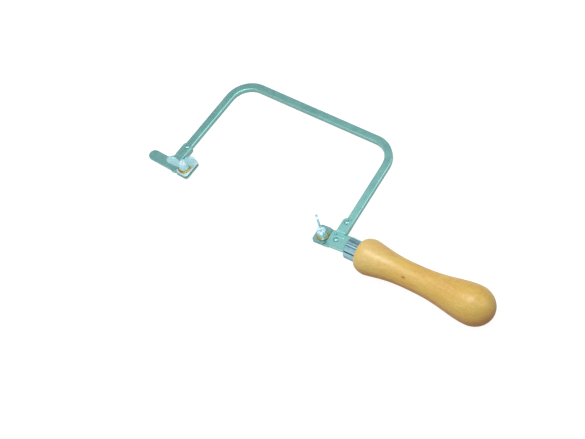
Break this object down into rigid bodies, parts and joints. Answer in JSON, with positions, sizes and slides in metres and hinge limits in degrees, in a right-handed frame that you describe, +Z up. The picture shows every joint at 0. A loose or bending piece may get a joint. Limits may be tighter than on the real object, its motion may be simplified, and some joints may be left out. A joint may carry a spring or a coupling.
{
  "type": "fret saw",
  "caption": "Hand fret saw: bent flat-steel bow with riveted sheet brackets, wing-screw blade clamps, a front rest stub, and a turned wooden handle on a ferrule.",
  "frame": {"origin": "middle of the bounding box in X and Y, at the height of the handle's lowest point", "axes": "+X along the handle toward its rounded end, +Y toward the back of the bow, +Z up from the flat bow toward the wings of the screws"},
  "size_m": [0.317, 0.1102, 0.0325],
  "materials": {
    "painted_steel": "satin",
    "plated_steel": "bright",
    "brass": "satin",
    "beech": "varnished"
  },
  "bodies": {
    "saw": {"bow": "painted_steel", "front_upper_leaf": "painted_steel", "front_lower_leaf": "painted_steel", "front_leg_rivet": "plated_steel", "front_plate_rivet": "plated_steel", "front_clamp_nut": "plated_steel", "rear_upper_leaf": "painted_steel", "rear_lower_leaf": "painted_steel", "rear_leg_rivet": "plated_steel", "rear_plate_rivet": "plated_steel", "rear_clamp_nut": "plated_steel", "ferrule": "plated_steel", "handle": "beech"},
    "front_clamp_jaw": {"front_jaw": "painted_steel", "front_washer": "brass"},
    "front_wing_screw": {"front_wing_head": "plated_steel", "front_screw_stud": "plated_steel"},
    "rear_clamp_jaw": {"rear_jaw": "painted_steel", "rear_washer": "brass"},
    "rear_wing_screw": {"rear_wing_head": "plated_steel", "rear_screw_stud": "plated_steel"}
  },
  "joints": [
    {"name": "front_jaw_lift", "type": "slide", "parent": "saw", "child": "front_clamp_jaw", "axis": [0, 0, 1], "range_m": [-0.0012, 0.0008]},
    {"name": "front_screw_turn", "type": "hinge", "parent": "front_clamp_jaw", "child": "front_wing_screw", "pos_m": [-0.12455, -0.03735, 0.0187], "axis": [0, 0, 1], "range_deg": [-540, 360]},
    {"name": "rear_jaw_lift", "type": "slide", "parent": "saw", "child": "rear_clamp_jaw", "axis": [0, 0, 1], "range_m": [0, 0.002]},
    {"name": "rear_screw_turn", "type": "hinge", "parent": "rear_clamp_jaw", "child": "rear_wing_screw", "pos_m": [0.0067, -0.03935, 0.0175], "axis": [0, 0, 1], "range_deg": [0, 900]}
  ],
  "couplings": [
    {"joint": "front_jaw_lift", "follows": "front_screw_turn", "m_per_rad": 0.00012732},
    {"joint": "rear_jaw_lift", "follows": "rear_screw_turn", "m_per_rad": 0.00012732}
  ]
}
